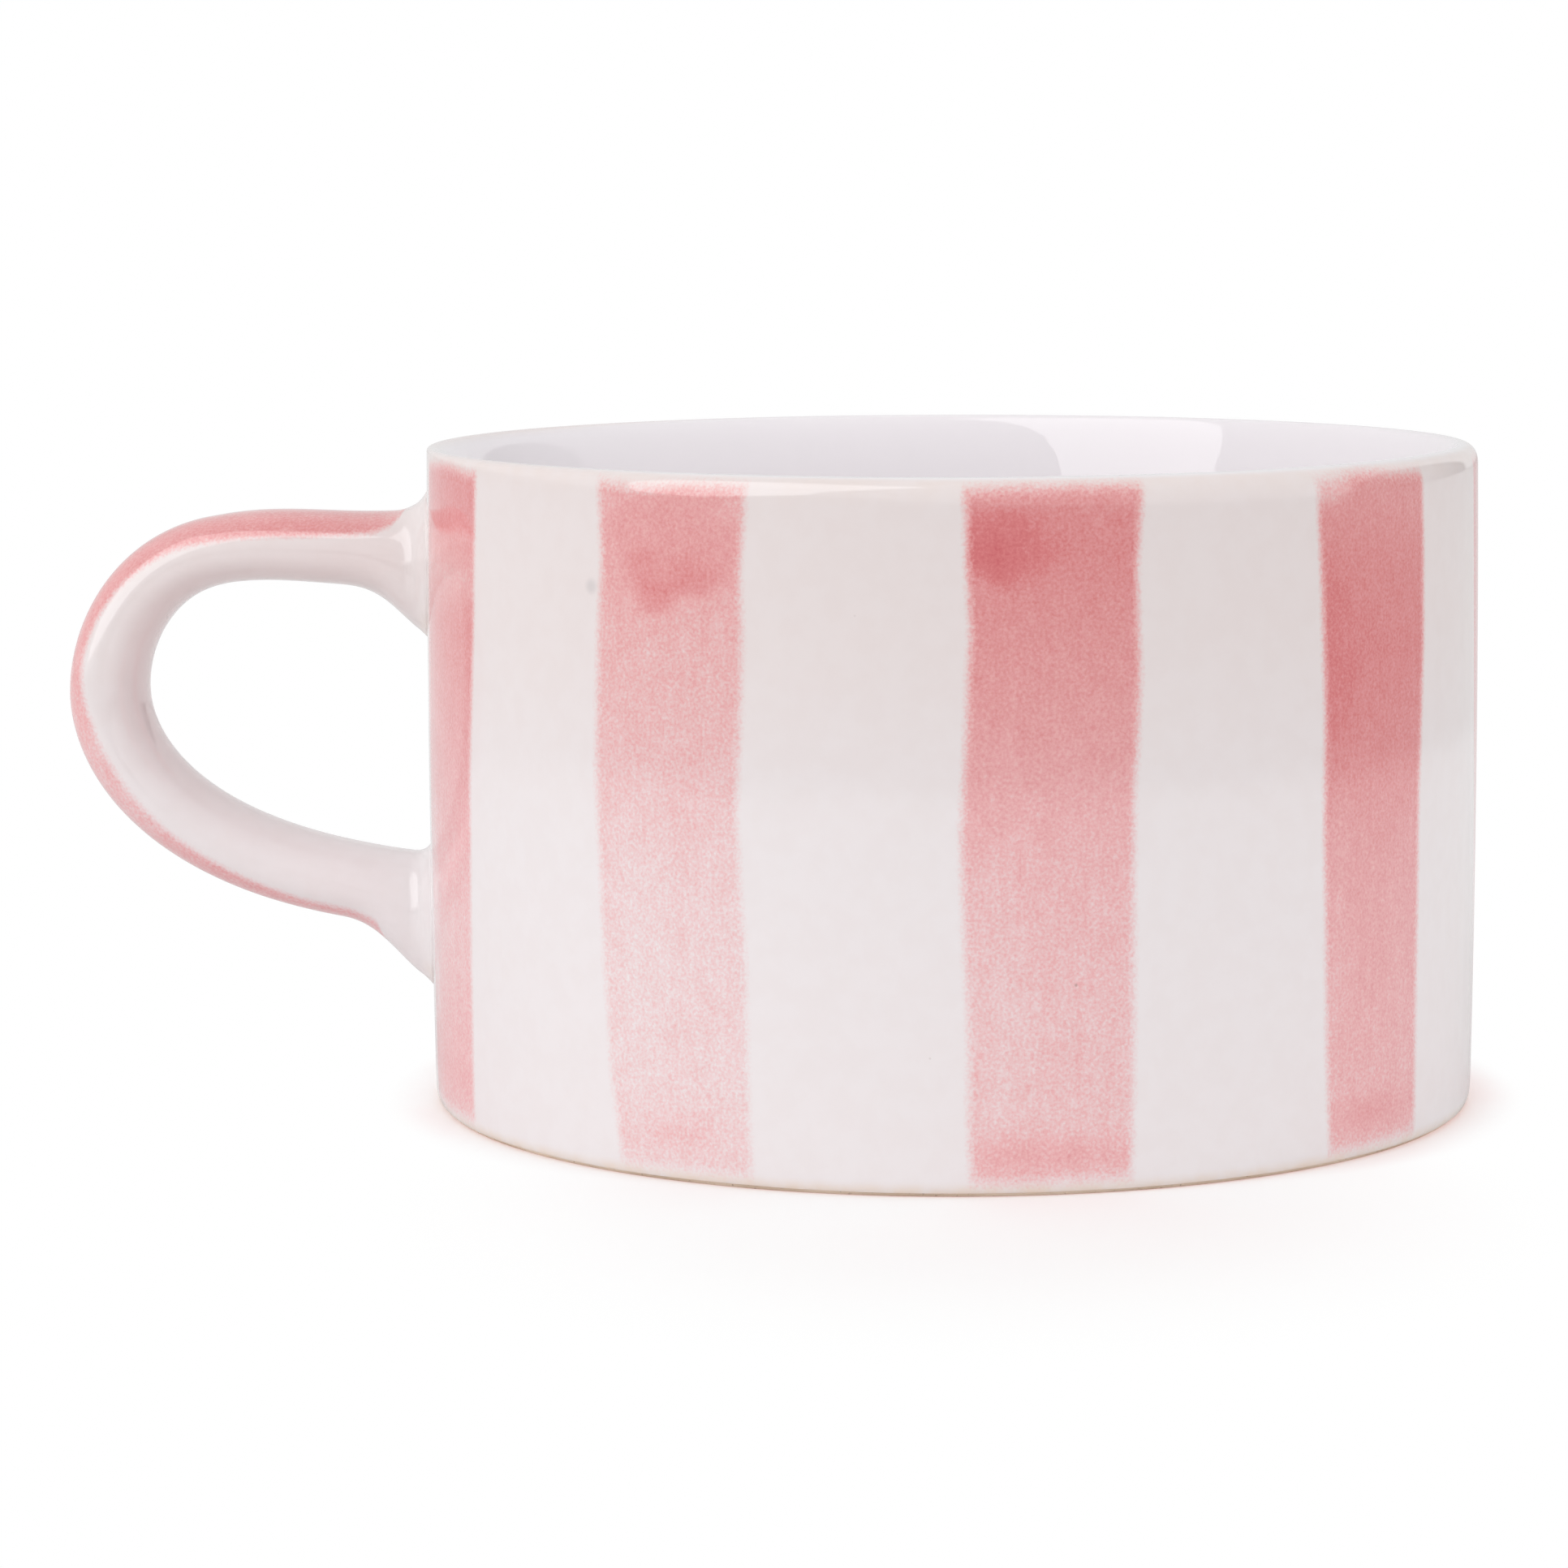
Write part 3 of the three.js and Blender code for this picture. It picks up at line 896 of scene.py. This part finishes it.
def with_marks(nodes, place, colour):
    """The colour with a few brown specks, one to a chosen cell, and the grey smudge."""
    cells = nodes.add("ShaderNodeTexVoronoi", {"Vector": place, "Scale": SPECK_SCALE}).outputs
    lot = nodes.add("ShaderNodeSeparateColor", {0: cells["Color"]}).outputs[0]
    chosen = nodes.math("GREATER_THAN", lot, SPECK_LOT)
    speck = nodes.math("MULTIPLY", nodes.remap(cells["Distance"], *SPECK_REACH), chosen)
    speck = nodes.math("MULTIPLY", speck, SPECK_STRENGTH)
    colour = nodes.mix(speck, colour, rgba(SPECK_BROWN))
    middle = [value * MM for value in SMUDGE]
    off = nodes.vector("DISTANCE", place, middle, result="Value")
    smudge = nodes.remap(off, SMUDGE_REACH[1] * MM, SMUDGE_REACH[0] * MM)
    smudge = nodes.math("MULTIPLY", smudge, SMUDGE_STRENGTH)
    return nodes.mix(smudge, colour, rgba(SMUDGE_GREY))


def glaze_material():
    """Glossy white glaze with the brushed paint, on the cup and the handle alike."""
    material, nodes, shader = new_material("painted_glaze")
    place = nodes.place()
    grain = nodes.noise(place, GRAIN_SCALE, 1.5, 0.6)
    mottle = nodes.noise(place, MOTTLE_SCALE, 3.0)
    drift = nodes.noise(place, DRIFT_SCALE)
    ground = ground_colour(nodes, place, mottle, drift)
    tint = paint_tint(nodes, place, grain, mottle, drift)
    colour = nodes.mix(1.0, ground, tint, "MULTIPLY")
    nodes.feed(shader, "Base Color", with_marks(nodes, place, colour))

    swell = nodes.math("MULTIPLY", nodes.noise(place, SWELL_SCALE, 1.0), SWELL_SHARE)
    height = nodes.math("ADD", nodes.noise(place, PEEL_SCALE), swell)
    nodes.feed(shader, "Normal", nodes.bump(height, GLAZE_BUMP))
    duller = nodes.math("MULTIPLY", nodes.remap(mottle, *DULL_TURNS), ROUGHNESS_RANGE)
    nodes.feed(shader, "Roughness", nodes.math("ADD", duller, ROUGHNESS_LEAST))
    shader.inputs["IOR"].default_value = GLAZE_IOR
    return material


def clay_material():
    """Bare fired clay with fine grit and the rings of the turning tool."""
    material, nodes, shader = new_material("bare_clay")
    place = nodes.place()
    grit = nodes.noise(place, GRIT_SCALE, 3.0, 0.65)
    cloud = nodes.remap(nodes.noise(place, CLAY_CLOUD_SCALE, 3.0), *CLAY_CLOUD_TURNS)
    darker = [value * share for value, share in zip(BODY_CLAY, CLAY_CLOUD_SHADE)]
    colour = nodes.mix(cloud, rgba(BODY_CLAY), rgba(darker))
    colour = nodes.mix(nodes.remap(grit, *GRIT_TURNS), colour, rgba(GRIT_BROWN))
    nodes.feed(shader, "Base Color", colour)
    rings = nodes.add("ShaderNodeTexWave", {
        "Vector": place, "Scale": RING_SCALE, "Distortion": 1.2, "Detail": 2.0, "Detail Scale": 1.5,
    }, wave_type="RINGS", rings_direction="Z")
    height = nodes.math("ADD", nodes.math("MULTIPLY", rings.outputs["Fac"], RING_SHARE), grit)
    nodes.feed(shader, "Normal", nodes.bump(height, CLAY_BUMP))
    shader.inputs["Roughness"].default_value = CLAY_ROUGHNESS
    return material


def make_camera():
    forward = -heading(CAMERA_TURN, CAMERA_PITCH)
    right = forward.cross(Vector((0, 0, 1))).normalized()
    up = right.cross(forward)
    facing = Matrix((right, up, -forward)).transposed().to_4x4()
    data = bpy.data.cameras.new("camera")
    data.lens = CAMERA_LENS
    data.sensor_width = CAMERA_SENSOR
    data.clip_start = CAMERA_CLIP * MM
    camera = bpy.data.objects.new("camera", data)
    place = Matrix.Translation(Vector(CAMERA_PLACE) * MM)
    camera.matrix_world = place @ facing @ Matrix.Rotation(math.radians(CAMERA_ROLL), 4, "Z")
    bpy.context.scene.collection.objects.link(camera)
    bpy.context.scene.camera = camera


def make_panel(name, angle, elevation, distance, width, height, radiance):
    """A soft box that faces the middle of the cup."""
    away = heading(angle, elevation)
    data = bpy.data.lights.new(name, "AREA")
    data.shape = "RECTANGLE"
    data.size = width * MM
    data.size_y = height * MM
    data.energy = radiance * math.pi * data.size * data.size_y
    lamp = bpy.data.objects.new(name, data)
    lamp.location = Vector((0, 0, HEIGHT / 2)) * MM + away * distance * MM
    lamp.rotation_euler = away.to_track_quat("Z", "Y").to_euler()
    bpy.context.scene.collection.objects.link(lamp)
    return lamp


def make_well_light():
    """Lights the floor inside the cup, which the soft boxes hardly reach."""
    data = bpy.data.lights.new("well", "SPOT")
    data.energy = WELL_POWER
    data.spot_size = math.radians(WELL_CONE)
    data.spot_blend = 1.0
    data.shadow_soft_size = WELL_RADIUS * MM
    lamp = bpy.data.objects.new("well", data)
    lamp.location = (0.0, 0.0, WELL_HEIGHT * MM)
    lamp.visible_glossy = False
    bpy.context.scene.collection.objects.link(lamp)


def make_lights():
    for name, values in LAMPS.items():
        make_panel(name, *values).visible_glossy = False
    for name, values in REFLECTORS.items():
        make_panel(name, *values).visible_diffuse = False
    make_well_light()


def sky_level(nodes, aside, up):
    """Strength of the even light, which is weaker on the dark side and overhead."""
    edge = math.cos(math.radians(DARK_SIDE_HALF_WIDTH))
    low = edge - SKY_DARK_EDGE[0]
    high = edge + SKY_DARK_EDGE[1]
    dimmer = nodes.remap(aside, low, high, SKY_STRENGTH, SKY_STRENGTH * SKY_DARK_SIDE, "LINEAR")
    fading = nodes.remap(up, 0.0, 1.0, 1.0, SKY_TOP, "LINEAR")
    return nodes.math("MULTIPLY", dimmer, fading)


def room_level(nodes, aside, behind, up):
    """Strength in reflections: even, but dark on one side and a little dimmer at the back."""
    edge = math.cos(math.radians(BACK_SIDE_HALF_WIDTH))
    low = edge - BACK_SIDE_EDGE
    high = edge + BACK_SIDE_EDGE
    dimmed = nodes.remap(behind, low, high, 0.0, 1.0 - BACK_SIDE_LEVEL)
    low, high = (math.sin(math.radians(lift)) for lift in BACK_SIDE_START)
    dimmed = nodes.math("MULTIPLY", dimmed, nodes.remap(up, low, high))
    edge = math.cos(math.radians(DARK_SIDE_HALF_WIDTH))
    low = edge - DARK_SIDE_EDGE
    high = edge + DARK_SIDE_EDGE
    shaded = nodes.remap(aside, low, high, 0.0, DARK_SIDE_DEPTH, "LINEAR")
    low, high = (math.sin(math.radians(lift)) for lift in DARK_SIDE_END)
    shaded = nodes.math("MULTIPLY", shaded, nodes.remap(up, high, low))
    dimmed = nodes.math("SUBTRACT", 1.0, dimmed)
    shaded = nodes.math("SUBTRACT", 1.0, shaded)
    return nodes.math("MINIMUM", shaded, dimmed)


def make_world():
    """Even light, a white background, and in reflections a room with one darker side."""
    world = bpy.data.worlds.new("studio")
    bpy.context.scene.world = world
    world.use_nodes = True
    nodes = Nodes(world.node_tree)
    ray = nodes.add("ShaderNodeLightPath").outputs
    away = nodes.add("ShaderNodeTexCoord").outputs["Generated"]
    aside = nodes.vector("DOT_PRODUCT", away, heading(DARK_SIDE), result="Value")
    split = nodes.add("ShaderNodeSeparateXYZ", {0: away}).outputs
    even = sky_level(nodes, aside, split["Z"])
    mirrored = room_level(nodes, aside, split["Y"], split["Z"])
    sky = world.node_tree.nodes["Background"]
    nodes.feed(sky, "Color", rgba(WHITE))
    nodes.feed(sky, "Strength", even)
    room = nodes.shader("Background", {"Color": rgba(ROOM_COLOUR), "Strength": mirrored})
    white = nodes.shader("Background", {"Color": rgba(WHITE), "Strength": 1.0})
    lit = nodes.blend(ray["Is Glossy Ray"], sky.outputs[0], room)
    both = nodes.blend(ray["Is Camera Ray"], lit, white)
    nodes.feed(world.node_tree.nodes["World Output"], "Surface", both)


def table_colour(nodes, place, away):
    """Brightness of the table: white near the cup, and beyond it dark but for one side."""
    ahead = nodes.vector("NORMALIZE", place)
    ahead = nodes.vector("DOT_PRODUCT", ahead, heading(PALE_SIDE), result="Value")
    beyond = nodes.remap(ahead, *PALE_SIDE_TURNS, TABLE_SURROUND, TABLE_BEHIND, "LINEAR")
    edge = TABLE_REACH * MM
    soft = TABLE_EDGE * MM
    return nodes.remap(away, edge - soft, edge + soft, TABLE_WHITE, beyond, "LINEAR")


def paper_share(nodes, place, away):
    """1 where the camera sees white paper, falling to 0 in the shadow and close to the foot."""
    middle = (SHADOW_MIDDLE[0] * MM, SHADOW_MIDDLE[1] * MM, 0.0)
    off = nodes.vector("DISTANCE", place, middle, result="Value")
    outside = nodes.remap(off, SHADOW_REACH[0] * MM, SHADOW_REACH[1] * MM)
    around = nodes.remap(away, CONTACT_REACH[0] * MM, CONTACT_REACH[1] * MM)
    return nodes.math("MINIMUM", outside, around)


def floor_material():
    """White table. To the camera most of it is paper white, with the shadow kept and warm."""
    material = bpy.data.materials.new("white_table")
    material.use_nodes = True
    tree = material.node_tree
    tree.nodes.clear()
    nodes = Nodes(tree)
    place = nodes.place()
    away = nodes.vector("LENGTH", place, result="Value")
    plain = nodes.shader("BsdfDiffuse", {"Color": table_colour(nodes, place, away)})
    shade = nodes.shader("BsdfDiffuse", {"Color": rgba(FLOOR_SHADE)})
    glow = nodes.shader("Emission", {"Color": rgba(FLOOR_GLOW), "Strength": 1.0})
    shadow = nodes.shader("AddShader", {0: shade, 1: glow})
    white = nodes.shader("Emission", {"Color": rgba(WHITE), "Strength": 1.0})
    paper = nodes.blend(paper_share(nodes, place, away), shadow, white)
    seen = nodes.add("ShaderNodeLightPath").outputs["Is Camera Ray"]
    output = nodes.add("ShaderNodeOutputMaterial")
    nodes.feed(output, "Surface", nodes.blend(seen, plain, paper))
    return material


def make_floor():
    reach = TABLE_HALF_WIDTH * MM
    mesh = bpy.data.meshes.new("table")
    corners = [(-reach, -reach, 0), (reach, -reach, 0), (reach, reach, 0), (-reach, reach, 0)]
    mesh.from_pydata(corners, [], [(0, 1, 2, 3)])
    mesh.materials.append(floor_material())
    table = bpy.data.objects.new("table", mesh)
    bpy.context.scene.collection.objects.link(table)


make_camera()
bpy.context.scene.view_settings.view_transform = "Standard"
make_world()
make_floor()
make_lights()

glaze = glaze_material()
make_cup_glaze(glaze)
make_cup_clay(clay_material())
make_handle_glaze(glaze)
